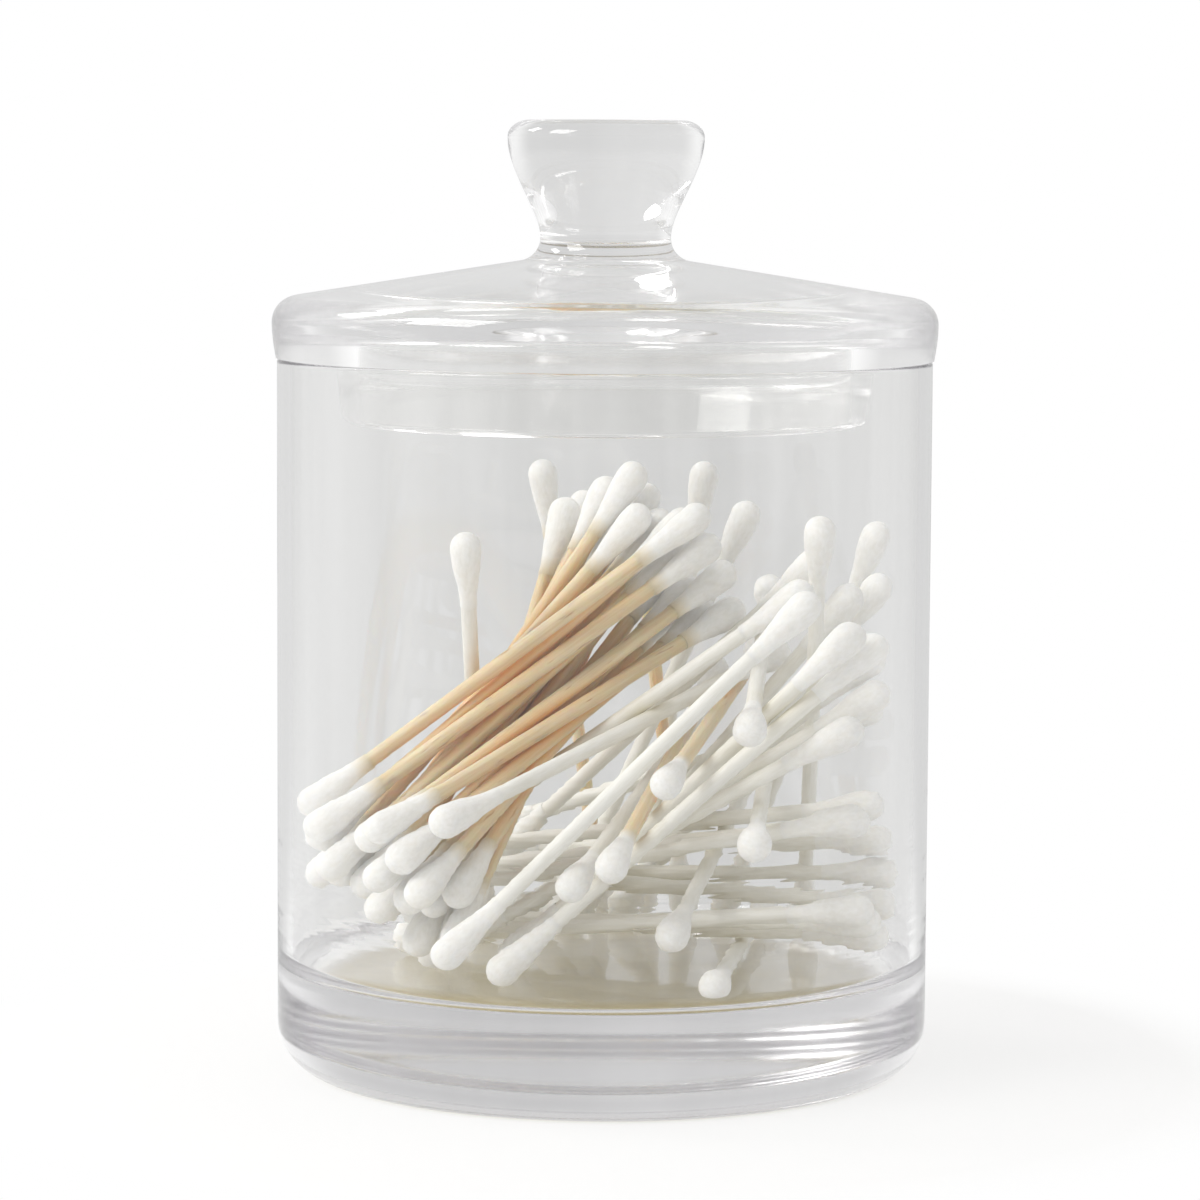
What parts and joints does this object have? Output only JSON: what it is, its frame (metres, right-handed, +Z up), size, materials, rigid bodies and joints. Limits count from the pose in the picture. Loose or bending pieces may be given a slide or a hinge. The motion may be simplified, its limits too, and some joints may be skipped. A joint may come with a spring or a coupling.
{
  "type": "bathroom storage jar",
  "caption": "Clear glass cylinder jar with a thick base and a loose glass lid with a flared knob, holding a heap of cotton buds.",
  "frame": {"origin": "middle of the jar's flat base, on the surface it stands on", "axes": "+Z up along the jar's axis, the front of the jar faces -Y, +X to the right seen from the front"},
  "size_m": [0.1016, 0.1016, 0.1452],
  "materials": {
    "glass": "clear polished",
    "wood": "bare, fine grain",
    "paper": "matt",
    "cotton": "wound cotton"
  },
  "bodies": {
    "root": {"jar": "glass", "lid": "glass", "paper_lone_sticks": "paper", "paper_lone_tips": "cotton", "paper_front_sticks": "paper", "paper_front_tips": "cotton", "wood_sheaf_a_sticks": "wood", "wood_sheaf_a_tips": "cotton", "wood_sheaf_b_sticks": "wood", "wood_sheaf_b_tips": "cotton", "wood_sheaf_c_sticks": "wood", "wood_sheaf_c_tips": "cotton", "wood_sheaf_d_sticks": "wood", "wood_sheaf_d_tips": "cotton", "paper_back_sticks": "paper", "paper_back_tips": "cotton", "wood_facing_sticks": "wood", "wood_facing_tips": "cotton", "paper_facing_sticks": "paper", "paper_facing_tips": "cotton", "paper_floor_sticks": "paper", "paper_floor_tips": "cotton", "paper_splay_a_sticks": "paper", "paper_splay_a_tips": "cotton", "paper_splay_b_sticks": "paper", "paper_splay_b_tips": "cotton", "paper_splay_d_sticks": "paper", "paper_splay_d_tips": "cotton", "paper_splay_c_sticks": "paper", "paper_splay_c_tips": "cotton", "wood_back_sticks": "wood", "wood_back_tips": "cotton", "paper_top_sticks": "paper", "paper_top_tips": "cotton"}
  },
  "joints": []
}
